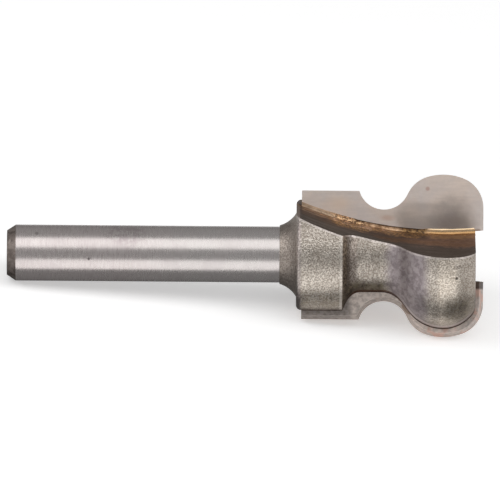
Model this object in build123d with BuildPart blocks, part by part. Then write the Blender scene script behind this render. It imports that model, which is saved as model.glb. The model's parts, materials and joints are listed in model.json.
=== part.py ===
from build123d import *
import os
from math import cos, hypot, radians, sin, sqrt, tan

# Two-flute router bit: carbide tips brazed to a steel body and ground to a bead-and-cove profile.
# Stations run along the bit's own axis from the end of the shank. Heights are measured from
# that axis in the flat rake face of a tip, and radii are measured round the axis.

# ---- Driving dimensions (mm, degrees) ----

# Shank, ground to the collet's size
shank_diameter = 6.35
shank_ground_length = 30.9
shank_chamfer_length = 1.0
shank_chamfer_depth = 0.65

# Flare from the ground shank to the collar
ground_step = 0.15
flare_length = 1.9
flare_rise = 1.45
flare_radius = 3.25

# Cutting profile: a straight land, a cove and a bead, along the tip from its back
tip_setback = 0.6
land_height = 7.3
cove_distance = 9.3
cove_radius = 2.9
cove_height = 5.2
bead_distance = 6.75
bead_radius = 6.3
bead_height = 9.22
shoulder_radius = 3.6
nose_reach = 4.55
nose_radius = 3.6

# Carbide tips
rake_offset = 1.2
tip_thickness = 1.6
relief_angle = 17.0
braze_gap = 0.12
blank_overhang = 1.0

# Turned head, held back from the cutting profile
collar_clearance = 0.5
neck_clearance = 0.3
crown_clearance = 0.54
nose_clearance = 0.92
land_overhang = 1.9
collar_step_angle = 61.0
collar_rim_radius = 0.5
neck_fillet_radius = 1.8
slope_angle = 50.0
slope_fillet_radius = 3.0
turned_shoulder_radius = 5.2
turned_bead_radius = 4.4
turned_nose_radius = 1.0

# Gullets, milled by a large cutter whose rim is lowest under the bead's crown
mill_radius = 44.0
root_height = 2.55
gullet_lead = 0.145
gullet_fall = 0.279

# Braze bead in the corner between rake face and gullet floor
braze_climb = 0.4
braze_spread = 0.4
braze_sag = 0.08

# Lying at rest on the shank's rim, the lower tip's crown and the lower lip of the collar
nose_lift = 5.41
lie_roll = 63.70

# ---- Derived stations, heights and radii ----

shank_radius = shank_diameter / 2
collar_back = shank_ground_length + flare_length
tip_back = collar_back + tip_setback

# Cutting profile: the three corners where its land, cove, bead and end meet
cove_station = tip_back + cove_distance
cove_centre_height = cove_height + cove_radius
bead_station = cove_station + bead_distance
bead_centre_height = bead_height - bead_radius
cutting_end = bead_station + nose_reach
land_end = cove_station - sqrt(cove_radius**2 - (cove_centre_height - land_height) ** 2)
nose_corner_height = bead_centre_height + sqrt(bead_radius**2 - nose_reach**2)

# The cove and bead circles cross at the shoulder, to one side of the line between their centres
centre_fall = cove_centre_height - bead_centre_height
centre_gap = hypot(bead_distance, centre_fall)
crossing_along = (centre_gap**2 + cove_radius**2 - bead_radius**2) / (2 * centre_gap)
crossing_aside = sqrt(cove_radius**2 - crossing_along**2)
shoulder_distance = (crossing_along * bead_distance + crossing_aside * centre_fall) / centre_gap
shoulder_fall = (crossing_along * centre_fall - crossing_aside * bead_distance) / centre_gap
shoulder_station = cove_station + shoulder_distance
shoulder_height = cove_centre_height - shoulder_fall

# Turned radii: what the cutting edge sweeps, less a clearance
collar_radius = hypot(land_height, rake_offset) - collar_clearance
neck_radius = hypot(cove_height, rake_offset) - neck_clearance
crown_radius = hypot(bead_height, rake_offset) - crown_clearance
body_end = cutting_end - nose_clearance
collar_front = land_end - land_overhang
step_foot_station = collar_front + (collar_radius - neck_radius) / tan(radians(collar_step_angle))

# Turned bead: two arcs meet at its crown, and the back one runs out along a straight slope to the neck
slope_top_station = bead_station - turned_shoulder_radius * sin(radians(slope_angle))
slope_top_radius = crown_radius - turned_shoulder_radius * (1 - cos(radians(slope_angle)))
slope_foot_station = slope_top_station - (slope_top_radius - neck_radius) / tan(radians(slope_angle))
bead_run = body_end - bead_station
arc_end_radius = crown_radius - turned_bead_radius + sqrt(turned_bead_radius**2 - bead_run**2)

# Seat and gullet: the cutter's rim passes root_height above the axis
seat_offset = rake_offset + tip_thickness + braze_gap
mill_station = bead_station
mill_height = root_height + mill_radius
gullet_reach = 2 * bead_height

# Tip blank: before it is ground and fitted it overhangs the finished tip
blank_back = tip_back - blank_overhang
blank_foot = root_height - blank_overhang

# ---- Placing: the bit's own axis is the x of its plane, the upper tip stands along y ----

bit = Plane.XY.rotated((lie_roll, 0, 0)).rotated((0, -nose_lift, 0))
spin_axis = Axis(bit.origin, bit.x_dir)
flutes = {"upper": bit, "lower": Plane(bit.origin, bit.x_dir, -bit.z_dir)}

os.makedirs("parts", exist_ok=True)


# ---- Steel body: one bar, turned all over, with a tip seat and a gullet milled on each side ----

flare_start = (shank_ground_length, shank_radius + ground_step)
flare_end = (collar_back, shank_radius + ground_step + flare_rise)
collar_back_rim = (collar_back, collar_radius)
collar_front_rim = (collar_front, collar_radius)
step_foot = (step_foot_station, neck_radius)
slope_foot = (slope_foot_station, neck_radius)
slope_top = (slope_top_station, slope_top_radius)
crown = (bead_station, crown_radius)
arc_end = (body_end, arc_end_radius)

with BuildSketch(bit) as turned_profile:
    with BuildLine():
        Polyline(
            (0, 0),
            (0, shank_radius - shank_chamfer_depth),
            (shank_chamfer_length, shank_radius),
            (shank_ground_length, shank_radius),
            flare_start,
        )
        RadiusArc(flare_start, flare_end, -flare_radius)
        Polyline(flare_end, collar_back_rim, collar_front_rim, step_foot, slope_foot, slope_top)
        RadiusArc(slope_top, crown, turned_shoulder_radius)
        RadiusArc(crown, arc_end, turned_bead_radius)
        Polyline(arc_end, (body_end, 0), (0, 0))
    make_face()
    for corner, radius in (
        (collar_back_rim, collar_rim_radius),
        (step_foot, neck_fillet_radius),
        (slope_foot, slope_fillet_radius),
        (arc_end, turned_nose_radius),
    ):
        fillet(turned_profile.vertices().sort_by_distance(corner)[0], radius)

with BuildPart() as steel_body:
    revolve(turned_profile.sketch, spin_axis)
    for flute in flutes.values():
        with BuildSketch(flute.offset(-seat_offset)):
            with Locations((mill_station, mill_height)):
                Circle(mill_radius)
        extrude(amount=seat_offset - rake_offset, mode=Mode.SUBTRACT)
        # From the rake face outwards the cutter's path falls away and moves on towards the nose
        with BuildSketch(flute.offset(-rake_offset)):
            with Locations((mill_station, mill_height)):
                Circle(mill_radius)
        gullet_way = flute.x_dir * gullet_lead - flute.y_dir * gullet_fall + flute.z_dir
        extrude(amount=gullet_reach, dir=gullet_way, mode=Mode.SUBTRACT)
steel_body.part.label = "steel_body"
export_step(steel_body.part, "parts/steel_body.step")


# ---- Carbide tips and their braze, one of each in each flute ----

land_corner = (land_end, land_height)
cove_bottom = (cove_station, cove_height)
shoulder_corner = (shoulder_station, shoulder_height)
bead_top = (bead_station, bead_height)
nose_corner = (cutting_end, nose_corner_height)
braze_on_tip = (mill_radius - braze_climb, -rake_offset)
braze_on_floor = (mill_radius + braze_spread * gullet_fall, braze_spread - rake_offset)
braze_corner = (mill_radius + braze_spread, -rake_offset)

for side, flute in flutes.items():
    rake_face = flute.offset(-rake_offset)
    tip_back_face = Plane(flute.from_local_coords((tip_back, 0, 0)), z_dir=flute.x_dir)
    mill_centre = flute.from_local_coords((mill_station, mill_height, 0))

    with BuildPart() as carbide_tip:
        # The cutting profile is relieved all round, so only the edge of the rake face cuts
        with BuildSketch(rake_face) as cutting_profile:
            with BuildLine():
                Polyline((blank_back, blank_foot), (blank_back, land_height), land_corner)
                ThreePointArc(land_corner, cove_bottom, shoulder_corner)
                ThreePointArc(shoulder_corner, bead_top, nose_corner)
                Polyline(nose_corner, (cutting_end, blank_foot), (blank_back, blank_foot))
            make_face()
            fillet(cutting_profile.vertices().sort_by_distance(shoulder_corner)[0], shoulder_radius)
            fillet(cutting_profile.vertices().sort_by_distance(nose_corner)[0], nose_radius)
        extrude(amount=-tip_thickness, taper=relief_angle)
        # Its foot follows the milled seat, and its back is square
        with BuildSketch(rake_face):
            with Locations((mill_station, mill_height)):
                Circle(mill_radius - braze_gap)
        extrude(amount=-tip_thickness, mode=Mode.INTERSECT)
        split(bisect_by=tip_back_face, keep=Keep.TOP)
    carbide_tip.part.label = f"carbide_tip_{side}"
    export_step(carbide_tip.part, f"parts/{carbide_tip.part.label}.step")

    with BuildPart() as braze:
        # A film fills the seat behind and under the tip
        with BuildSketch(flute.offset(-seat_offset)):
            with Locations((mill_station, mill_height)):
                Circle(mill_radius)
        extrude(amount=seat_offset - rake_offset)
        # A concave bead runs along the root of the rake face, round the cutter's own axis
        with BuildSketch(Plane(mill_centre, x_dir=-flute.y_dir, z_dir=-flute.x_dir)):
            with BuildLine():
                SagittaArc(braze_on_tip, braze_on_floor, braze_sag)
                Polyline(braze_on_floor, braze_corner, braze_on_tip)
            make_face()
        revolve(axis=Axis(mill_centre, flute.z_dir))
        # It keeps to the turned outline, and to the room that steel and carbide leave
        revolve(turned_profile.sketch, spin_axis, mode=Mode.INTERSECT)
        split(bisect_by=tip_back_face, keep=Keep.TOP)
        add(steel_body.part, mode=Mode.SUBTRACT)
        add(carbide_tip.part, mode=Mode.SUBTRACT)
    braze.part.label = f"braze_{side}"
    export_step(braze.part, f"parts/{braze.part.label}.step")
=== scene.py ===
import json
from math import asin, cos, hypot, pi, radians, sin
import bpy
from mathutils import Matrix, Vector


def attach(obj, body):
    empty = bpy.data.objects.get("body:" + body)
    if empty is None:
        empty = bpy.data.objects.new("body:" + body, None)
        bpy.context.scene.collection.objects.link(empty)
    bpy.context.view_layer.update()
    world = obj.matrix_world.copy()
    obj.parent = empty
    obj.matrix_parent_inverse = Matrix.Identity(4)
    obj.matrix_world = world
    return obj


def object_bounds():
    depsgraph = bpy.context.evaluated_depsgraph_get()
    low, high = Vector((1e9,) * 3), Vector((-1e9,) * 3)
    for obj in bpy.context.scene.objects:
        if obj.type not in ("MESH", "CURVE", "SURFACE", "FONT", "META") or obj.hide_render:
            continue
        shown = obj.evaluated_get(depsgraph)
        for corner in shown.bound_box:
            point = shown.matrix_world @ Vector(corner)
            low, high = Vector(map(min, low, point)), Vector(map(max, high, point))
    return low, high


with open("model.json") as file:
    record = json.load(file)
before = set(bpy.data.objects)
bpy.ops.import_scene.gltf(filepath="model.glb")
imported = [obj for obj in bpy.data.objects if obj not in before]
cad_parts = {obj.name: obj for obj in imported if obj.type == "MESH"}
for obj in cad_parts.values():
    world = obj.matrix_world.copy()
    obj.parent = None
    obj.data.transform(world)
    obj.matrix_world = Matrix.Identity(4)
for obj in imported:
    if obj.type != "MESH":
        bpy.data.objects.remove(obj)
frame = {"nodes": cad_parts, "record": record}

from types import SimpleNamespace

import bmesh
import bpy
from mathutils import Matrix, Vector, noise

cad_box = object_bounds()

# A two-flute router bit lying on a pale floor: ground shank, blasted head, carbide tips and their braze.
# Lengths on the bit are in millimetres, and MM turns them into metres. The sizes and distances of the
# floor, the lamps and the camera are in metres.

MM = 0.001

# ---- The bit's own axes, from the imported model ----
# Along runs from the shank's end to the nose, out is the way from which the upper tip's rake face is
# seen, and rise is the way from the axis to that tip's cutting edge.

TOWARDS_FRONT = Vector((0, -1, 0.5))
FACES_FRONT = 0.8

shank = next(mount for mount in frame["record"]["mounts"] if mount["name"] == "shank")
tip_faces = frame["nodes"]["carbide_tip_upper"].data.polygons
front_faces = [face for face in tip_faces if face.normal.dot(TOWARDS_FRONT) > FACES_FRONT]
rake_normal = max(front_faces, key=lambda face: face.area).normal
ALONG = -Vector(shank["axis"]).normalized()
RISE = rake_normal.cross(ALONG).normalized()
OUT = ALONG.cross(RISE)

# ---- Stations along the bit, and the gullet that its cutter leaves ----

CHAMFER_END = 1.0
GROUND_END = 30.9
COLLAR_BACK = 32.8
COLLAR_FRONT = 38.0
BODY_END = 53.08
RAKE_OFFSET = 1.2
MILL_STATION = 49.45
MILL_HEIGHT = 46.55
MILL_RADIUS = 44.0

# Each millimetre out from the rake face, the gullet moves this far to the nose and falls this far
MILL_LEAD = 0.145
MILL_FALL = 0.279

# The slope of the plane through the axis that parts one flute from the other
FLUTE_SLANT = 0.25


# ---- Node trees: small helpers ----


def tone(code):
    """The linear colour of a hex code, as the shader's sockets take it."""
    parts = [int(code[i : i + 2], 16) / 255 for i in (1, 3, 5)]
    return tuple(c / 12.92 if c <= 0.04045 else ((c + 0.055) / 1.055) ** 2.4 for c in parts) + (1.0,)


def feed(tree, value, socket):
    """Links a socket to the output that gives its value, or sets it to a number, vector or hex colour."""
    if isinstance(value, bpy.types.NodeSocket):
        tree.links.new(value, socket)
    elif isinstance(value, str):
        socket.default_value = tone(value)
    else:
        socket.default_value = value


def node(tree, kind, inputs=None, **settings):
    made = tree.nodes.new("ShaderNode" + kind)
    for name, value in settings.items():
        setattr(made, name, value)
    for name, value in (inputs or {}).items():
        feed(tree, value, made.inputs[name])
    return made


def calc(tree, operation, *values, clamp=False):
    made = node(tree, "Math", operation=operation, use_clamp=clamp)
    for socket, value in zip(made.inputs, values):
        feed(tree, value, socket)
    return made.outputs[0]


def vector_calc(tree, operation, *values):
    """A VectorMath node, for its outputs."""
    made = node(tree, "VectorMath", operation=operation)
    for socket, value in zip(made.inputs, values):
        feed(tree, value, socket)
    return made.outputs


def product(tree, first, *others):
    for other in others:
        first = calc(tree, "MULTIPLY", first, other)
    return first


def sum_of_squares(tree, first, second):
    return calc(tree, "ADD", product(tree, first, first), product(tree, second, second))


def pushed(tree, value, texture, reach):
    """A value that a texture pushes to and fro, by up to half the reach."""
    return calc(tree, "MULTIPLY_ADD", texture, reach, calc(tree, "SUBTRACT", value, reach / 2))


def raised(tree, low, texture, by):
    """A number that a texture raises from low, by up to as much as by says."""
    return calc(tree, "MULTIPLY_ADD", texture, by, low)


def ease(tree, value, start, end, low=0.0, high=1.0):
    """Low before start, high past end, and a smooth step between them."""
    span = {"From Min": start, "From Max": end, "To Min": low, "To Max": high, "Value": value}
    return node(tree, "MapRange", span, interpolation_type="SMOOTHSTEP").outputs["Result"]


def fade(tree, value, start, end):
    """1 before start, 0 past end, and a smooth step between them."""
    return ease(tree, value, start, end, 1.0, 0.0)


def between(tree, value, start, end, soft):
    """1 between start and end, and 0 outside them, over edges that are soft wide."""
    rising = ease(tree, value, start - soft / 2, start + soft / 2)
    return product(tree, rising, fade(tree, value, end - soft / 2, end + soft / 2))


def mix(tree, share, under, over):
    """Colour under where the share is 0, and colour over where it is 1."""
    made = node(tree, "Mix", data_type="RGBA")
    factor, first, second = made.inputs[0], made.inputs[6], made.inputs[7]
    feed(tree, share, factor)
    feed(tree, under, first)
    feed(tree, over, second)
    return made.outputs[2]


def layer(tree, under, *layers):
    """A colour under any number of (mask, strength, colour) layers."""
    for mask, strength, over in layers:
        under = mix(tree, calc(tree, "MULTIPLY", mask, strength), under, over)
    return under


def level(tree, under, *layers):
    """A number under any number of (mask, number) layers."""
    for mask, over in layers:
        under = node(tree, "Mix", {"Factor": mask, "A": under, "B": over}).outputs["Result"]
    return under


def bump(tree, height, distance, normal=None):
    made = node(tree, "Bump", {"Height": height, "Distance": distance, "Strength": 1.0})
    if normal:
        feed(tree, normal, made.inputs["Normal"])
    return made.outputs["Normal"]


# ---- Effects that more than one material uses: groups, each with a short way to place it ----


def new_group(name, inputs, outputs):
    """A shader node group with named sockets: name -> kind, and its default for an input."""
    tree = bpy.data.node_groups.new(name, "ShaderNodeTree")
    for socket_name, (kind, default) in inputs.items():
        socket = tree.interface.new_socket(socket_name, in_out="INPUT", socket_type="NodeSocket" + kind)
        socket.default_value = default
    for socket_name, kind in outputs.items():
        tree.interface.new_socket(socket_name, in_out="OUTPUT", socket_type="NodeSocket" + kind)
    return tree, tree.nodes.new("NodeGroupInput").outputs, tree.nodes.new("NodeGroupOutput").inputs


def use(tree, group, inputs=None):
    made = node(tree, "Group", node_tree=group)
    for name, value in (inputs or {}).items():
        feed(tree, value, made.inputs[name])
    return made.outputs


def make_place_group():
    """Where a point lies on the bit, in millimetres, with the lower flute laid over the upper one."""
    outputs = {
        "Place": "Vector",
        "Station": "Float",
        "Height": "Float",
        "From Rake": "Float",
        "Under Floor": "Float",
        "Round Angle": "Float",
        "From Axis": "Float",
    }
    tree, _, out = new_group("place on the bit", {}, outputs)
    onto_bit = Matrix((ALONG, RISE, OUT)).to_euler()
    turned = node(
        tree, "Mapping", {"Vector": node(tree, "TexCoord").outputs["Object"], "Rotation": onto_bit}
    )
    place = node(tree, "VectorMath", {"Scale": 1 / MM}, operation="SCALE")
    feed(tree, turned.outputs["Vector"], place.inputs[0])
    split = node(tree, "SeparateXYZ", {"Vector": place.outputs["Vector"]}).outputs
    station, rise, outward = split["X"], split["Y"], split["Z"]
    # The lower flute is the upper one turned half round the axis, and a slanting plane parts them
    side = calc(tree, "SIGN", calc(tree, "MULTIPLY_ADD", outward, FLUTE_SLANT, rise))
    height = calc(tree, "MULTIPLY", rise, side)
    folded_out = calc(tree, "MULTIPLY", outward, side)
    from_rake = calc(tree, "ADD", folded_out, RAKE_OFFSET)
    across = calc(tree, "SUBTRACT", station, calc(tree, "MULTIPLY_ADD", from_rake, MILL_LEAD, MILL_STATION))
    upward = calc(tree, "SUBTRACT", height, calc(tree, "MULTIPLY_ADD", from_rake, -MILL_FALL, MILL_HEIGHT))
    from_mill = calc(tree, "SQRT", sum_of_squares(tree, across, upward))
    feed(tree, place.outputs["Vector"], out["Place"])
    feed(tree, station, out["Station"])
    feed(tree, height, out["Height"])
    feed(tree, from_rake, out["From Rake"])
    feed(tree, calc(tree, "SUBTRACT", from_mill, MILL_RADIUS), out["Under Floor"])
    feed(tree, calc(tree, "ARCTAN2", height, calc(tree, "MULTIPLY", folded_out, -1.0)), out["Round Angle"])
    feed(tree, calc(tree, "SQRT", sum_of_squares(tree, rise, outward)), out["From Axis"])
    return tree


def make_lines_group():
    """Fine lines round the axis, as turning and grinding leave them, broken up along their run."""
    inputs = {"Place": ("Vector", (0, 0, 0)), "Lines per mm": ("Float", 6.0), "Run": ("Float", 0.25)}
    tree, given, out = new_group("lines round the axis", inputs, {"Lines": "Float"})
    stretch = node(tree, "CombineXYZ", {"X": given["Lines per mm"], "Y": given["Run"], "Z": given["Run"]})
    stretched = vector_calc(tree, "MULTIPLY", given["Place"], stretch.outputs[0])["Vector"]
    texture = node(tree, "TexNoise", {"Vector": stretched, "Scale": 1.0, "Detail": 3.0, "Roughness": 0.65})
    feed(tree, texture.outputs["Fac"], out["Lines"])
    return tree


def make_grain_group():
    """The pebbled grain of a blasted surface: its height, and a mask of light peaks and dark pits."""
    pits_to_peaks = (0.56, 0.96)
    cell_share = 0.5
    inputs = {"Place": ("Vector", (0, 0, 0)), "Grains per mm": ("Float", 4.0)}
    tree, given, out = new_group("blasted grain", inputs, {"Height": "Float", "Speckle": "Float"})
    size = {"Vector": given["Place"], "Scale": given["Grains per mm"]}
    pebbles = node(tree, "TexNoise", {**size, "Detail": 1.5, "Roughness": 0.6}).outputs["Fac"]
    cells = node(tree, "TexVoronoi", size).outputs["Distance"]
    height = calc(tree, "MULTIPLY_ADD", cells, cell_share, pebbles)
    feed(tree, height, out["Height"])
    feed(tree, ease(tree, height, *pits_to_peaks), out["Speckle"])
    return tree


def make_blotch_group():
    """Soft blotches of any size, for stains, specks and changes of shade."""
    inputs = {
        "Place": ("Vector", (0, 0, 0)),
        "Blotches per mm": ("Float", 0.3),
        "Middle": ("Float", 0.5),
        "Edge": ("Float", 0.15),
    }
    tree, given, out = new_group("blotches", inputs, {"Blotch": "Float"})
    size = {"Vector": given["Place"], "Scale": given["Blotches per mm"]}
    texture = node(tree, "TexNoise", {**size, "Detail": 4.0, "Roughness": 0.55, "Distortion": 0.4})
    low = calc(tree, "SUBTRACT", given["Middle"], given["Edge"])
    high = calc(tree, "ADD", given["Middle"], given["Edge"])
    feed(tree, ease(tree, texture.outputs["Fac"], low, high), out["Blotch"])
    return tree


def make_streak_group():
    """Streaks that run along the bit, thin across their run."""
    gap_to_streak = (0.32, 0.68)
    inputs = {
        "Station": ("Float", 0.0),
        "Across": ("Float", 0.0),
        "Along per mm": ("Float", 0.15),
        "Across per mm": ("Float", 2.0),
    }
    tree, given, out = new_group("streaks along the bit", inputs, {"Streak": "Float"})
    along = calc(tree, "MULTIPLY", given["Station"], given["Along per mm"])
    across = calc(tree, "MULTIPLY", given["Across"], given["Across per mm"])
    spot = node(tree, "CombineXYZ", {"X": along, "Y": across}).outputs[0]
    texture = node(tree, "TexNoise", {"Vector": spot, "Scale": 1.0, "Detail": 3.0, "Roughness": 0.6})
    feed(tree, ease(tree, texture.outputs["Fac"], *gap_to_streak), out["Streak"])
    return tree


def make_wander_group():
    """The station, pushed to and fro by up to half the reach, for edges that wander."""
    inputs = {
        "Place": ("Vector", (0, 0, 0)),
        "Station": ("Float", 0.0),
        "Reach": ("Float", 1.0),
        "Waves per mm": ("Float", 0.8),
    }
    tree, given, out = new_group("wandering station", inputs, {"Station": "Float"})
    waves = node(tree, "TexNoise", {"Vector": given["Place"], "Scale": given["Waves per mm"], "Detail": 2.0})
    push = calc(tree, "SUBTRACT", waves.outputs["Fac"], 0.5)
    feed(tree, calc(tree, "MULTIPLY_ADD", push, given["Reach"], given["Station"]), out["Station"])
    return tree


def make_mark_group():
    """One small mark on the bit: 1 at its centre, and 0 from its radius on."""
    full_share = 0.4
    inputs = {"Place": ("Vector", (0, 0, 0)), "Centre": ("Vector", (0, 0, 0)), "Radius": ("Float", 0.3)}
    tree, given, out = new_group("small mark", inputs, {"Mark": "Float"})
    apart = vector_calc(tree, "DISTANCE", given["Place"], given["Centre"])["Value"]
    soft_from = calc(tree, "MULTIPLY", given["Radius"], full_share)
    feed(tree, fade(tree, apart, soft_from, given["Radius"]), out["Mark"])
    return tree


PLACE = make_place_group()
LINES = make_lines_group()
GRAIN = make_grain_group()
BLOTCH = make_blotch_group()
STREAK = make_streak_group()
WANDER = make_wander_group()
MARK = make_mark_group()


def lines_round(tree, place, per_mm, run):
    return use(tree, LINES, {"Place": place["Place"], "Lines per mm": per_mm, "Run": run})["Lines"]


def blotches(tree, place, per_mm, middle=0.5, edge=0.15):
    values = {"Place": place["Place"], "Blotches per mm": per_mm, "Middle": middle, "Edge": edge}
    return use(tree, BLOTCH, values)["Blotch"]


def streaks(tree, place, across, along_per_mm, across_per_mm):
    values = {
        "Station": place["Station"],
        "Across": place[across],
        "Along per mm": along_per_mm,
        "Across per mm": across_per_mm,
    }
    return use(tree, STREAK, values)["Streak"]


def wandering(tree, place, reach, per_mm):
    values = {"Place": place["Place"], "Station": place["Station"], "Reach": reach, "Waves per mm": per_mm}
    return use(tree, WANDER, values)["Station"]


def mark(tree, place, centre, radius):
    """A mark, whose centre is a station, rise and out on the bit's own axes."""
    return use(tree, MARK, {"Place": place["Place"], "Centre": centre, "Radius": radius})["Mark"]


def new_material(name):
    """A material whose node tree is still empty, and that tree."""
    material = bpy.data.materials.new(name)
    material.use_nodes = True
    material.node_tree.nodes.clear()
    return material, material.node_tree


def new_finish(name):
    """A material that one Principled shader makes: the material, its tree and the shader's sockets."""
    material, tree = new_material(name)
    surface = node(tree, "BsdfPrincipled")
    node(tree, "OutputMaterial", {"Surface": surface.outputs["BSDF"]})
    return material, tree, surface.inputs


# ---- Steel of the body ----
# A zone is where a finish starts and ends along the bit, and how soft its ends are. A start or an
# end of two numbers is where a change begins and where it is done.

GROUND = (CHAMFER_END, GROUND_END, 0.04)
CHAMFER_EDGE = (CHAMFER_END - 0.02, CHAMFER_END + 0.02)
SHANK_END = (0.02, 0.04)
NEUTRAL_START = (12.0, 22.0)
HEAD_START = (COLLAR_BACK - 0.1, COLLAR_BACK + 0.05)
COLLAR = (COLLAR_BACK, COLLAR_FRONT, 0.2)
COLLAR_BACK_EDGE = (COLLAR_BACK, COLLAR_BACK + 0.5, 0.3)
COLLAR_FRONT_HIGHLIGHT = (COLLAR_FRONT - 0.3, COLLAR_FRONT, 0.08)
STEP_SHADE = (COLLAR_FRONT + 0.02, 38.5, 0.1)
STEP_FOOT_SHADE = (38.2, 39.7, 0.7)
NECK = (38.2, 42.8, 0.6)
SLOPE = (43.1, 47.6, 1.3)
SLOPE_TO_CROWN = (43.6, 49.6, 1.0)
CROWN = (48.9, 51.0, 0.8)
NOSE_SIDE = (50.2, 52.2, 0.8)
NOSE_START = (50.6, 51.8)
TURNED_END = (BODY_END - 0.7, BODY_END - 0.05)

# Round the axis, in radians from straight behind a tip towards its cutting edge
BEHIND_TIP = (radians(36), radians(60), radians(14))
BESIDE_TIP = (radians(60), radians(84), radians(8))
UNDER_GULLET_SHADE = (radians(148), radians(166), radians(10))

# Soot and its painted shade are gone within the first of these radii, and full past the second
OFF_AXIS = (2.0, 4.6)

# How far the seam and the rim beside a tip's seat lie behind the rake face, and where they start
SEAM = (-1.98, -1.5, 0.06)
SEAM_START = (38.0, 39.0)
RIM = (-2.5, -1.98, 0.15)
RIM_START = (44.4, 45.6)

# A gullet's floor and its lip: how far past the cutter's path they lie, and how far out they start
FLOOR_EDGE = (0.02, 0.07)
FLOOR_START = (-0.2, -0.1)
LIP = (0.05, 0.26, 0.08)
LIP_START = (0.5, 1.0)

# Small marks: station, rise and out of the middle, and radius
SHANK_STAIN = ((13.5, 2.5, 1.9), 3.0)
SHANK_PIT = ((9.3, -0.66, 3.1), 0.22)
SHANK_SCUFF = ((3.4, 2.2, 2.3), 0.3)
CROWN_PIT = ((50.91, -2.56, 8.11), 0.24)

# Gullet floor: zones along the bit
BROWN_END = (43.5, 48.5)
THIN_BRAZE_END = (36.5, 38.5)
EARLY_DARK_END = (40.0, 44.0)
FLOOR_BACK_END = (33.35, 33.5)
FLOOR_BACK_EDGE = (33.1, 33.25)
PEBBLED_BRAZE = (36.8, 41.4, 1.4)
SPREAD_BESIDE_COVE = (41.4, 47.0, 1.0)
BRIGHT_START = (47.0, 48.5)
BURNT_FLUX = (44.9, 47.6, 1.0)

# Gullet floor: bands, as how far out from the rake face they lie. Near the back the dark band starts
# earlier than it does by the nose.
BRAZED_BAND = (0.6, 2.6)
FLUX_BAND = (1.6, 2.6)
GOLD_BAND = (3.8, 5.4, 1.0)
DARK_BAND = 4.8
DARK_BAND_EARLY_BY = 1.6
DARK_SOFTNESS = 1.4
SPREAD_SOFTNESS = (-0.5, 0.3)

# Which part of a texture's range becomes light and dark lines
LINE_CONTRAST = (0.35, 0.65)
TURNING_CONTRAST = (0.42, 0.62)

EDGE_TINT = (0.6, 0.6, 0.6, 1.0)
GRAIN_HEIGHT = 0.05 * MM
LINE_HEIGHT = 0.0015 * MM


def body_patterns(tree):
    """The places, textures and masks that several parts of the body's finish use."""
    look = SimpleNamespace()
    look.place = use(tree, PLACE)
    look.station, look.from_rake = look.place["Station"], look.place["From Rake"]
    look.zone = wandering(tree, look.place, reach=0.9, per_mm=0.9)
    look.grain = use(tree, GRAIN, {"Place": look.place["Place"], "Grains per mm": 6.0})
    look.speckle = look.grain["Speckle"]
    look.lines = lines_round(tree, look.place, per_mm=7.0, run=0.9)
    look.stain = blotches(tree, look.place, per_mm=0.35, edge=0.16)
    look.fleck = blotches(tree, look.place, per_mm=1.6, edge=0.12)
    look.speck = blotches(tree, look.place, per_mm=3.6, edge=0.08)
    look.heat = streaks(tree, look.place, "From Rake", along_per_mm=0.12, across_per_mm=1.3)

    look.ground = between(tree, look.station, *GROUND)
    look.chamfer = fade(tree, look.station, *CHAMFER_EDGE)
    look.head = ease(tree, look.station, *HEAD_START)
    look.collar = between(tree, look.station, *COLLAR)
    look.neck = between(tree, look.zone, *NECK)
    look.slope = between(tree, look.zone, *SLOPE)
    look.crown = between(tree, look.zone, *CROWN)
    look.in_gullet = product(
        tree,
        fade(tree, look.place["Under Floor"], *FLOOR_EDGE),
        ease(tree, look.from_rake, *FLOOR_START),
        look.head,
    )

    # Bands over the gullet floor, whose edges flecks and streaks push about
    look.band = pushed(tree, look.from_rake, look.fleck, reach=0.5)
    look.band = pushed(tree, look.band, look.heat, reach=1.2)
    early = fade(tree, look.zone, *EARLY_DARK_END)
    dark_from = calc(tree, "MULTIPLY_ADD", early, -DARK_BAND_EARLY_BY, DARK_BAND)
    look.dark = ease(tree, calc(tree, "SUBTRACT", look.band, dark_from), 0.0, DARK_SOFTNESS)
    return look


def shank_tone(tree, look):
    """Ground steel: fine lines round the shank, warmer towards its end, with a stain and small marks."""
    stained = product(tree, mark(tree, look.place, *SHANK_STAIN), look.fleck)
    return layer(
        tree,
        mix(tree, ease(tree, look.lines, *LINE_CONTRAST), "#dad0ce", "#e8e0dd"),
        (ease(tree, look.zone, *NEUTRAL_START), 0.7, mix(tree, look.lines, "#dad5d2", "#e4e0dd")),
        (look.stain, 0.22, "#c6babb"),
        (look.fleck, 0.12, "#f2e8e8"),
        (stained, 0.4, "#a39096"),
        (mark(tree, look.place, *SHANK_PIT), 0.8, "#6e6464"),
        (mark(tree, look.place, *SHANK_SCUFF), 0.5, "#8a8080"),
    )


def shank_end_tone(tree, look):
    """Rings that facing left on the flat end of the shank."""
    rings_per_mm = 5.0
    spot = {"W": look.place["From Axis"], "Scale": rings_per_mm, "Detail": 3.0}
    rings = node(tree, "TexNoise", spot, noise_dimensions="1D").outputs["Fac"]
    return mix(tree, ease(tree, rings, *LINE_CONTRAST), "#847a75", "#a59b95")


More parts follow.
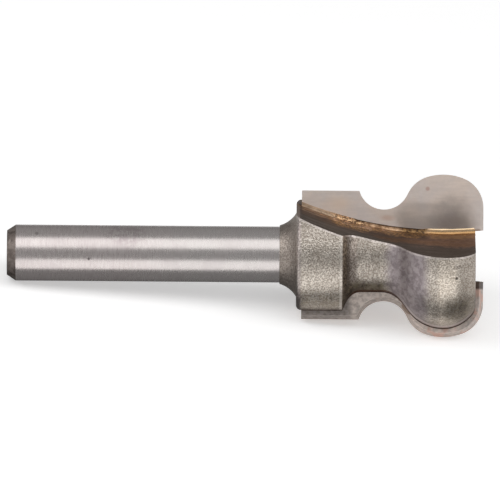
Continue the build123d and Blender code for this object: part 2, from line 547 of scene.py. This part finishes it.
def soot_and_shade_tone(tree, look, tone_under):
    """Soot on the turned head behind and beside each tip, with painted shade on the undersides of the neck
    and the bead: thick on the neck and thin on the slope.
    """
    angle = look.place["Round Angle"]
    off_axis = ease(tree, look.place["From Axis"], *OFF_AXIS)
    behind_tip = product(tree, between(tree, angle, *BEHIND_TIP), off_axis)
    beside_tip = product(tree, between(tree, angle, *BESIDE_TIP), off_axis)
    soot_and_shade_share = level(
        tree,
        0.55,
        (look.neck, 0.95),
        (between(tree, look.zone, *SLOPE_TO_CROWN), 0.15),
        (between(tree, look.zone, *NOSE_SIDE), 0.7),
    )
    return layer(
        tree,
        tone_under,
        # Soot and painted shade behind and beside each tip: from the front it darkens the neck's and the
        # bead's undersides, where shade falls
        (product(tree, behind_tip, soot_and_shade_share), 1.0, mix(tree, look.fleck, "#3e362c", "#6b6252")),
        (beside_tip, 0.6, "#857b73"),
    )


def head_tone(tree, look):
    """Blasted head: beige where it is clean, mauve grey on the slope, lighter with a painted highlight on
    the crown, painted shade at the step and on the collar's top, and light along its edges, partly wear and
    partly painted highlights.
    """
    angle, under_floor = look.place["Round Angle"], look.place["Under Floor"]
    turning = ease(tree, lines_round(tree, look.place, per_mm=1.8, run=0.5), *TURNING_CONTRAST)
    turned = fade(tree, look.station, *TURNED_END)
    seam = product(tree, between(tree, look.from_rake, *SEAM), ease(tree, look.zone, *SEAM_START), turned)
    rim = product(tree, between(tree, look.from_rake, *RIM), ease(tree, look.zone, *RIM_START), turned)
    lip = product(tree, between(tree, under_floor, *LIP), ease(tree, look.from_rake, *LIP_START), look.head)
    step_foot_shade = between(tree, look.zone, *STEP_FOOT_SHADE)
    step = between(tree, look.station, *STEP_SHADE)
    blasted = layer(
        tree,
        mix(tree, look.speckle, "#a3988d", "#ece3d8"),
        (look.stain, 0.35, "#978b7e"),
        (look.slope, 0.9, mix(tree, look.fleck, "#8b8084", "#aaa0a2")),
        # The crown is beiger and lighter; part of this is a painted highlight where the floor's reflection
        # falls
        (look.crown, 0.9, mix(tree, look.speckle, "#c4b6a6", "#fff4e6")),
        (ease(tree, look.zone, *NOSE_START), 0.35, "#85796e"),
        # Painted shade in the concave corner where the collar steps down to the neck, and on the foot of
        # that step
        (step_foot_shade, 0.7, mix(tree, look.speckle, "#554a43", "#8c8079")),
        (step, 0.75, mix(tree, look.speck, "#5e5348", "#cbbba9")),
    )
    return layer(
        tree,
        soot_and_shade_tone(tree, look, blasted),
        (product(tree, turning, look.neck), 0.35, "#786e65"),
        # Painted shade on the collar's top under the gullet, which dims the softbox's reflection there
        (product(tree, between(tree, angle, *UNDER_GULLET_SHADE), look.collar), 0.35, "#7b7068"),
        (between(tree, look.station, *COLLAR_BACK_EDGE), 0.4, "#8d8288"),
        # A painted highlight along the collar's front edge
        (between(tree, look.station, *COLLAR_FRONT_HIGHLIGHT), 0.3, "#fbf3ea"),
        (mark(tree, look.place, *CROWN_PIT), 0.8, "#3a322d"),
        (rim, 0.75, "#c9bebb"),
        # A dark line beside each tip's joint: partly the joint's own dark colour, partly painted shade in
        # the crease
        (seam, 0.8, "#4a342b"),
        # The lip's light edge: partly wear, partly a painted highlight
        (lip, level(tree, 0.3, (look.fleck, 0.6)), "#e4dad6"),
    )


def gullet_tone(tree, look):
    """Gullet floor: braze by the tip, then brown, gold brown and at last burnt dark."""
    bright = ease(tree, look.zone, *BRIGHT_START)
    spread_to = level(
        tree,
        0.9,
        (between(tree, look.zone, *PEBBLED_BRAZE), 3.4),
        (between(tree, look.zone, *SPREAD_BESIDE_COVE), 2.3),
        (bright, 2.4),
    )
    patchy = level(tree, 0.35, (look.speck, 1.0), (bright, raised(tree, 0.3, look.heat, by=0.5)))
    spread = fade(tree, calc(tree, "SUBTRACT", look.band, spread_to), *SPREAD_SOFTNESS)
    flux = product(
        tree,
        between(tree, look.zone, *BURNT_FLUX),
        fade(tree, look.band, *FLUX_BAND),
        level(tree, 0.6, (look.speck, 1.0)),
    )
    thin_braze = level(tree, 0.9, (ease(tree, look.zone, *THIN_BRAZE_END), 0.6))
    spread_tone = mix(tree, calc(tree, "MAXIMUM", look.speck, bright), "#755638", "#c9a070")
    return layer(
        tree,
        mix(tree, look.heat, "#8c7062", "#a88976"),
        (fade(tree, look.zone, *BROWN_END), 0.85, mix(tree, look.heat, "#483b32", "#6a574a")),
        (fade(tree, look.band, *BRAZED_BAND), thin_braze, "#c2a58e"),
        (between(tree, look.band, *GOLD_BAND), 0.4, "#8f6b4c"),
        (look.dark, 0.95, "#534942"),
        (look.fleck, 0.25, "#3c2d24"),
        (fade(tree, look.station, *FLOOR_BACK_END), 0.8, "#5a4c47"),
        (fade(tree, look.station, *FLOOR_BACK_EDGE), 0.9, "#94867e"),
        (flux, 0.85, "#2e2119"),
        (product(tree, spread, patchy), 0.85, spread_tone),
    )


def body_roughness(tree, look):
    ground_rough = raised(tree, raised(tree, 0.215, look.stain, by=0.03), look.lines, by=0.09)
    head_rough = level(tree, 0.36, (look.collar, 0.31), (look.slope, 0.48), (look.crown, 0.32))
    return level(
        tree,
        0.42,
        (look.ground, ground_rough),
        (look.head, head_rough),
        (look.chamfer, 0.5),
        (look.in_gullet, raised(tree, 0.38, look.heat, by=0.12)),
    )


def body_material():
    """Steel: ground on the shank, blasted on the head, stained by the brazing heat in the gullets."""
    material, tree, surface = new_finish("bit steel")
    look = body_patterns(tree)
    colour = layer(
        tree,
        mix(tree, look.speckle, "#8c827b", "#b3a89f"),
        (look.ground, 1.0, shank_tone(tree, look)),
        (look.head, 1.0, head_tone(tree, look)),
        (look.chamfer, 1.0, mix(tree, look.fleck, "#756b66", "#978c86")),
        (fade(tree, look.station, *SHANK_END), 1.0, shank_end_tone(tree, look)),
        (look.in_gullet, 1.0, gullet_tone(tree, look)),
    )
    feed(tree, colour, surface["Base Color"])
    burnt = product(tree, look.in_gullet, look.dark)
    feed(tree, level(tree, 1.0, (burnt, 0.75)), surface["Metallic"])
    feed(tree, body_roughness(tree, look), surface["Roughness"])
    feed(tree, EDGE_TINT, surface["Specular Tint"])
    grain_share = level(tree, 1.0, (look.ground, 0.0), (look.slope, 0.45), (look.in_gullet, 0.35))
    normal = bump(tree, product(tree, look.grain["Height"], grain_share), GRAIN_HEIGHT)
    normal = bump(tree, product(tree, look.lines, look.ground), LINE_HEIGHT, normal)
    feed(tree, normal, surface["Normal"])
    return material


# ---- Carbide of the tips ----

COVE_START = (38.4, 39.4)
BEAD_START = (44.6, 46.4)
NOSE_START_ON_TIP = (50.6, 52.4)
END_STRIP_START = (53.62, 53.7)

# From the rake face: where its own look ends, and where the back's gives way to the flank's
RAKE_END = (-0.06, -0.02)
FLANK_START = (-1.58, -1.52)

# The shade low on the bead: how far over the floor, as a negative depth, and where along the bit
LOW_SHADE = (-3.9, -0.8)
LOW_SHADE_ZONE = (44.2, 52.4, 1.6)

# The dark foot, which stands past the body's end: where along the bit, and how high off the axis
FOOT_START = (BODY_END, BODY_END + 0.1)
FOOT_TOP = (3.6, 3.9)

RAKE_PIT = ((47.65, 7.6, -RAKE_OFFSET), 0.32)

# Soft ovals on the rake face: station and height of the middle, and half their size along and up
DARK_OVAL = (50.4, 3.6, 3.0, 3.6)
GREY_OVAL = (47.4, 5.6, 3.6, 0.7)
WARM_OVAL = (37.6, 5.9, 2.0, 0.9)
COPPER_OVAL = (43.1, 4.25, 1.0, 0.4)
BROWN_OVAL = (53.4, 2.8, 0.5, 0.35)
OVAL_WANDER = 0.6
OVAL_SOFTNESS = (0.1, 1.2)

MOTTLE_HEIGHT = 0.004 * MM


def oval(tree, place, station, height, along, up):
    """1 in the middle of a soft oval on a flute's face, and 0 outside it, with an edge that wanders."""
    texture = node(tree, "TexNoise", {"Vector": place["Place"], "Scale": 0.7, "Detail": 3.0}).outputs["Fac"]
    off_along = calc(tree, "DIVIDE", calc(tree, "SUBTRACT", place["Station"], station), along)
    off_up = calc(tree, "DIVIDE", calc(tree, "SUBTRACT", place["Height"], height), up)
    off_middle = calc(tree, "SQRT", sum_of_squares(tree, off_along, off_up))
    return fade(tree, pushed(tree, off_middle, texture, OVAL_WANDER), *OVAL_SOFTNESS)


def rake_tone(tree, place, zone, mottle, smear):
    """Rake face: matt beige grey with long smears, darker low on the bead."""
    blotch = blotches(tree, place, per_mm=0.28, edge=0.2)
    low_shade = product(
        tree, ease(tree, place["Under Floor"], *LOW_SHADE), between(tree, zone, *LOW_SHADE_ZONE)
    )
    return layer(
        tree,
        mix(tree, blotch, "#ede2dc", "#f5e5d9"),
        (mottle, 0.12, "#d2c3ba"),
        (smear, 0.2, "#b9aea8"),
        (low_shade, 0.55, "#857a73"),
        (oval(tree, place, *DARK_OVAL), 0.7, "#8d827c"),
        (oval(tree, place, *GREY_OVAL), 0.35, "#a89e98"),
        (oval(tree, place, *WARM_OVAL), 0.4, "#f6dcc4"),
        (mark(tree, place, *RAKE_PIT), 0.6, "#c49a8c"),
        (oval(tree, place, *COPPER_OVAL), 0.45, "#cfa78f"),
        (oval(tree, place, *BROWN_OVAL), 0.7, "#94705a"),
        (ease(tree, place["Station"], *END_STRIP_START), 0.5, "#efe6de"),
    )


def relieved_tone(tree, place, zone, mottle):
    """Relieved flank and back: greyer than the rake face, pinker and copper stained round the bead."""
    station = place["Station"]
    bead = ease(tree, zone, *BEAD_START)
    copper = product(tree, blotches(tree, place, per_mm=0.7, middle=0.56, edge=0.08), bead)
    foot = product(tree, ease(tree, station, *FOOT_START), fade(tree, place["Height"], *FOOT_TOP))
    return layer(
        tree,
        mix(tree, mottle, "#857d78", "#a79d97"),
        (ease(tree, station, *COVE_START), 0.9, mix(tree, mottle, "#c2b5ad", "#ebdfd6")),
        (bead, 0.9, mix(tree, mottle, "#e8dad0", "#ffeee4")),
        (ease(tree, place["From Rake"], *FLANK_START), 0.6, mix(tree, mottle, "#837b76", "#a89e97")),
        (ease(tree, station, *NOSE_START_ON_TIP), 0.75, mix(tree, mottle, "#a89f99", "#c9beb7")),
        (copper, 0.45, "#dba28c"),
        (foot, 0.85, "#3c342e"),
    )


def carbide_material():
    """Ground carbide: one look on the rake face, and another on the relieved flank and back."""
    material, tree, surface = new_finish("ground carbide")
    place = use(tree, PLACE)
    zone = wandering(tree, place, reach=1.6, per_mm=0.5)
    mottle = blotches(tree, place, per_mm=2.2, edge=0.2)
    smear = streaks(tree, place, "Height", along_per_mm=0.22, across_per_mm=1.1)
    behind = fade(tree, place["From Rake"], *RAKE_END)
    on_rake = rake_tone(tree, place, zone, mottle, smear)
    feed(tree, mix(tree, behind, on_rake, relieved_tone(tree, place, zone, mottle)), surface["Base Color"])
    feed(tree, 1.0, surface["Metallic"])
    feed(tree, raised(tree, 0.5, smear, by=0.06), surface["Roughness"])
    feed(tree, bump(tree, mottle, MOTTLE_HEIGHT), surface["Normal"])
    return material


# ---- Braze ----
# Each look's zone along the bit comes first.

BACK_END = (33.8, 34.8)
THIN_END = (36.0, 37.6)
PEBBLED = (36.6, 40.8, 1.2)
CRACK_SHADE_ZONE = (39.6, 46.8, 0.6)
DIRTY = (44.6, 47.6, 0.8)
BRIGHT = (47.2, 48.2)

# How far over the floor these reach on the bead of braze, as a negative depth
CRACK_SHADE_FOOT = (-0.36, -0.31)
BRIGHT_HIGHLIGHT_EDGE = (-0.36, -0.18)
THIN_FOOT = (-0.27, -0.2)

# The film behind a tip, and the short way where the tip's relief leaves it open to view
FILM = (-0.12, -0.04)
OPEN_FILM = (44.3, 46.1, 0.4)

DENT_HEIGHT = 0.03 * MM


def braze_material():
    """Brazing alloy: bright along the bead end of the tip, with painted light and shade there, dulled and
    pitted elsewhere, with painted shadow along the gap at its top.
    """
    material, tree, surface = new_finish("brazing alloy")
    place = use(tree, PLACE)
    under = place["Under Floor"]
    zone = wandering(tree, place, reach=1.4, per_mm=0.8)
    speck = blotches(tree, place, per_mm=3.4, edge=0.08)
    fleck = blotches(tree, place, per_mm=1.5, edge=0.1)

    bright = ease(tree, zone, *BRIGHT)
    dirty = between(tree, zone, *DIRTY)
    crack_shade = product(tree, between(tree, zone, *CRACK_SHADE_ZONE), fade(tree, under, *CRACK_SHADE_FOOT))
    thin_end = fade(tree, zone, *THIN_END)
    film = fade(tree, place["From Rake"], *FILM)
    open_film = between(tree, place["Station"], *OPEN_FILM)
    colour = layer(
        tree,
        mix(tree, fleck, "#cba888", "#8f6f54"),
        (between(tree, zone, *PEBBLED), 0.9, mix(tree, speck, "#5a4030", "#e6bd92")),
        (dirty, 0.9, mix(tree, speck, "#3a2a1e", "#9a7850")),
        # On the bright bead: a painted highlight on its upper part and painted shade on its lower part, so
        # that one highlight line shows
        (bright, 0.9, mix(tree, ease(tree, under, *BRIGHT_HIGHLIGHT_EDGE), "#ffe2b8", "#c99e6c")),
        (thin_end, 0.6, "#dcc6ae"),
        (fade(tree, zone, *BACK_END), 0.5, "#8f7a66"),
        (product(tree, thin_end, ease(tree, under, *THIN_FOOT)), 0.5, "#6b5546"),
        # Painted shadow in the gap along the top of the braze, where it falls short of the rake face
        (crack_shade, 0.9, "#3f3026"),
        (film, 0.9, mix(tree, open_film, "#33221b", "#927c6d")),
    )
    feed(tree, colour, surface["Base Color"])
    feed(tree, 1.0, surface["Metallic"])
    feed(tree, level(tree, 0.36, (bright, 0.24), (dirty, 0.5), (film, 0.5)), surface["Roughness"])
    dents = blotches(tree, place, per_mm=2.4, edge=0.2)
    dents = product(tree, dents, level(tree, 1.0, (bright, 0.15)))
    feed(tree, bump(tree, dents, DENT_HEIGHT), surface["Normal"])
    return material


STEEL = body_material()
CARBIDE = carbide_material()
BRAZE = braze_material()
FINISHES = {"steel": STEEL, "carbide": CARBIDE, "braze": BRAZE}
for name, piece in frame["nodes"].items():
    piece.data.materials.clear()
    piece.data.materials.append(FINISHES[name.split("_")[0]])


def new_piece(name, bed, material):
    """An object at the origin, made from a bmesh that is then freed."""
    mesh = bpy.data.meshes.new(name)
    bed.to_mesh(mesh)
    bed.free()
    mesh.materials.append(material)
    piece = bpy.data.objects.new(name, mesh)
    bpy.context.scene.collection.objects.link(piece)
    return piece


# ---- Braze that ran out over the gullet floors ----
# A thin closed strip is spun round the cutter's own axis, and its points are moved: it climbs the rake
# face, spreads over the floor, and sinks under it where the braze ends. Then it is slanted as the floor is.

FLOW_START = 33.55
FLOW_END = 52.98
FLOW_STEPS = 300
FLOW_COLUMNS = 22
FLOW_ROOT = 0.05
FLOW_TUCK = 0.02
COLUMN_CROWDING = 1.5
PAST_NOSE = 60

# The least that it spreads and climbs, and the changes to those and to its pebbles: how much, from
# which station, to which, and how softly
SPREAD_LEAST = 0.6
SPREAD_CHANGES = ((2.3, 36.6, 41.2, 1.4), (0.7, 41.2, 47.4, 1.2), (0.5, 47.4, PAST_NOSE, 1.0))
CLIMB_LEAST = 0.43
CLIMB_CHANGES = ((0.14, 36.2, 39.8, 1.2), (-0.2, 40.4, 44.6, 0.8), (0.17, 47.2, PAST_NOSE, 1.0))
PEBBLE_CHANGES = ((1.0, 36.2, 41.4, 1.0), (0.7, 44.6, 47.6, 0.8))

FILLET_WIDTH = 0.7
FILLET_CURVE = 2.2
FILM_HEIGHT = 0.07
FILM_SINK = 0.02
FILM_FULL_SHARE = 1 / 8
LUMP_HEIGHT = 0.06
LUMPS_ALONG = 0.9
LUMPS_OUT = 1.1
PEBBLE_HEIGHT = 0.06
PEBBLES_PER_MM = 4.2
PEBBLE_SEED = 7


def step_at(station, place, soft):
    """0 before a place, 1 past it, and a smooth step between that is soft wide."""
    share = min(max((station - place) / soft + 0.5, 0.0), 1.0)
    return share * share * (3 - 2 * share)


def changed(station, least, changes):
    """A measure at a station: its least, and each change that holds there."""
    for amount, start, end, soft in changes:
        least += amount * step_at(station, start, soft) * (1 - step_at(station, end, soft))
    return least


def flow_spread(station):
    """How far the braze runs out over the floor: widest behind the cove, thin at the back."""
    return changed(station, SPREAD_LEAST, SPREAD_CHANGES)


def flow_lift(station, share, from_rake, seed):
    """How far its top stands over the floor, at a share of the way from the rake face out."""
    lump = noise.noise(Vector((station * LUMPS_ALONG, from_rake * LUMPS_OUT, seed)))
    spot = Vector((station * PEBBLES_PER_MM, from_rake * PEBBLES_PER_MM, seed + PEBBLE_SEED))
    pebble = noise.noise(spot) * changed(station, 0.0, PEBBLE_CHANGES)
    film = FILM_HEIGHT * (1 - share) + LUMP_HEIGHT * lump + PEBBLE_HEIGHT * pebble - FILM_SINK
    off_root = min(share * flow_spread(station) / FILLET_WIDTH, 1.0)
    fillet = changed(station, CLIMB_LEAST, CLIMB_CHANGES) * (1 - off_root) ** FILLET_CURVE
    return fillet + film * min(share / FILM_FULL_SHARE, 1.0)


def shape_flow(vert, seed):
    """Moves a point of the spun strip to its place on the cutter's path, over or under the floor."""
    share = vert.co.z
    station = MILL_STATION + vert.co.x
    from_rake = flow_spread(station) * share**COLUMN_CROWDING
    top = hypot(vert.co.x, vert.co.y) < MILL_RADIUS + FLOW_ROOT / 2
    lift = flow_lift(station, share, from_rake, seed) if top else -FLOW_ROOT
    outward = vert.co.xy.normalized() * (MILL_RADIUS - lift)
    vert.co = (outward.x, outward.y, from_rake - FLOW_TUCK)


def make_braze_flow(name, side, seed):
    """The run of braze on one flute: side is 1 for the upper flute, and -1 for the lower."""
    bed = bmesh.new()
    shares = [column / FLOW_COLUMNS for column in range(FLOW_COLUMNS + 1)]
    top = [bed.verts.new((0, -MILL_RADIUS, share)) for share in shares]
    underside = [bed.verts.new((0, -MILL_RADIUS - FLOW_ROOT, share)) for share in reversed(shares)]
    strip = top + underside
    edges = [bed.edges.new((strip[i - 1], strip[i])) for i in range(len(strip))]
    start_turn = asin((FLOW_START - MILL_STATION) / MILL_RADIUS)
    end_turn = asin((FLOW_END - MILL_STATION) / MILL_RADIUS)
    bmesh.ops.rotate(bed, verts=strip, cent=(0, 0, 0), matrix=Matrix.Rotation(start_turn, 3, "Z"))
    bmesh.ops.spin(
        bed,
        geom=strip + edges,
        cent=(0, 0, 0),
        axis=(0, 0, 1),
        dvec=(0, 0, 0),
        angle=end_turn - start_turn,
        steps=FLOW_STEPS,
        use_merge=False,
        use_duplicate=False,
    )
    bmesh.ops.holes_fill(bed, edges=[edge for edge in bed.edges if edge.is_boundary], sides=0)
    for vert in bed.verts:
        shape_flow(vert, seed)
    slant = Matrix(((1, 0, MILL_LEAD), (0, 1, -MILL_FALL), (0, 0, 1))).to_4x4()
    seat = Matrix.Translation((MILL_STATION, MILL_HEIGHT, -RAKE_OFFSET))
    flute = Matrix((ALONG, RISE * side, OUT * side)).transposed().to_4x4()
    bmesh.ops.transform(bed, verts=bed.verts, matrix=flute @ Matrix.Scale(MM, 4) @ seat @ slant)
    bmesh.ops.recalc_face_normals(bed, faces=bed.faces)
    for face in bed.faces:
        face.smooth = True
    piece = new_piece(name, bed, BRAZE)
    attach(piece, "root")


make_braze_flow("braze_flow_upper", side=1, seed=3.0)
make_braze_flow("braze_flow_lower", side=-1, seed=11.0)


# ---- Floor and card ----

FLOOR_HALF = 1.5
FLOOR_TONE = (0.8, 0.8, 0.8, 1)
FLOOR_GLOW = 0.42
WHITE = (1, 1, 1, 1)

# A dark card on the floor, which only reflections show, keeps the bit's underside dark. Its outline
# and its lift off the floor are in millimetres.
CARD_OUTLINE = (
    (-15, -5.9),
    (0, -5.9),
    (30, -8.9),
    (54, -16.5),
    (75, -16.5),
    (75, -8.0),
    (33.8, -8.0),
    (33.8, 30),
    (-15, 30),
)
CARD_LIFT = 0.02
CARD_LEVEL = 0.2

floor_height = cad_box[0].z


def floor_material():
    """A plain pale floor, which a glow lifts to white where the camera or a reflection sees it."""
    material, tree = new_material("pale floor")
    rays = node(tree, "LightPath").outputs
    seen = calc(tree, "ADD", rays["Is Camera Ray"], rays["Is Glossy Ray"])
    seen = calc(tree, "ADD", seen, rays["Is Transmission Ray"], clamp=True)
    lit = node(tree, "BsdfDiffuse", {"Color": FLOOR_TONE})
    glow = node(tree, "Emission", {"Color": WHITE, "Strength": calc(tree, "MULTIPLY", seen, FLOOR_GLOW)})
    both = node(tree, "AddShader")
    feed(tree, lit.outputs[0], both.inputs[0])
    feed(tree, glow.outputs[0], both.inputs[1])
    node(tree, "OutputMaterial", {"Surface": both.outputs[0]})
    return material


def card_material():
    material, tree = new_material("shade card")
    dark = node(tree, "Emission", {"Color": WHITE, "Strength": CARD_LEVEL})
    node(tree, "OutputMaterial", {"Surface": dark.outputs[0]})
    return material


bed = bmesh.new()
bmesh.ops.create_grid(bed, x_segments=1, y_segments=1, size=FLOOR_HALF)
bmesh.ops.translate(bed, verts=bed.verts, vec=(0, 0, floor_height))
floor = new_piece("floor", bed, floor_material())

bed = bmesh.new()
card_height = floor_height + CARD_LIFT * MM
bed.faces.new([bed.verts.new((x * MM, y * MM, card_height)) for x, y in CARD_OUTLINE])
card = new_piece("shade card", bed, card_material())
card.visible_camera = False
card.visible_diffuse = False
card.visible_shadow = False


# ---- World, lamps and camera ----

WORLD_LEVEL = 0.28

world = bpy.data.worlds.new("studio")
bpy.context.scene.world = world
world.use_nodes = True
background = world.node_tree.nodes["Background"].inputs
background["Color"].default_value = WHITE
background["Strength"].default_value = WORLD_LEVEL

box_centre = (cad_box[0] + cad_box[1]) / 2


def softbox(name, azimuth, elevation, distance, width, height, level):
    """A soft lamp that looks at the bit. Its level is how bright its face is, where 1 renders white."""
    lamp = bpy.data.lights.new(name, "AREA")
    lamp.shape = "RECTANGLE"
    lamp.size = width
    lamp.size_y = height
    lamp.energy = level * pi * width * height
    holder = bpy.data.objects.new(name, lamp)
    bpy.context.scene.collection.objects.link(holder)
    a, e = radians(azimuth), radians(elevation)
    back = Vector((sin(a) * cos(e), -cos(a) * cos(e), sin(e)))
    holder.location = box_centre + back * distance
    holder.rotation_euler = back.to_track_quat("Z", "Y").to_euler()


softbox("high front softbox", azimuth=0, elevation=69, distance=0.35, width=0.55, height=0.28, level=0.85)
softbox("left softbox", azimuth=-75, elevation=40, distance=0.45, width=0.3, height=0.3, level=2.0)
softbox("right softbox", azimuth=75, elevation=40, distance=0.45, width=0.3, height=0.3, level=2.0)

# The camera looks square at the upper tip's rake face, a little turned about its own line of sight.
# The middle and the width of its view are in millimetres on the bit.
VIEW_STATION = 27.551
VIEW_RISE = 0.272
VIEW_WIDTH = 56.69
VIEW_TURN = radians(0.45)
CAMERA_DISTANCE = 2.0
SENSOR_WIDTH = 36.0

view_right = ALONG * cos(VIEW_TURN) + RISE * sin(VIEW_TURN)
view_up = RISE * cos(VIEW_TURN) - ALONG * sin(VIEW_TURN)
camera_data = bpy.data.cameras.new("camera")
camera_data.sensor_width = SENSOR_WIDTH
camera_data.lens = SENSOR_WIDTH * CAMERA_DISTANCE / (VIEW_WIDTH * MM)
camera = bpy.data.objects.new("camera", camera_data)
bpy.context.scene.collection.objects.link(camera)
eye = (view_right * VIEW_STATION + view_up * VIEW_RISE) * MM + OUT * CAMERA_DISTANCE
camera_axes = Matrix((view_right, view_up, OUT)).transposed().to_4x4()
camera.matrix_world = Matrix.Translation(eye) @ camera_axes
bpy.context.scene.camera = camera

bpy.context.scene.view_settings.view_transform = "Standard"
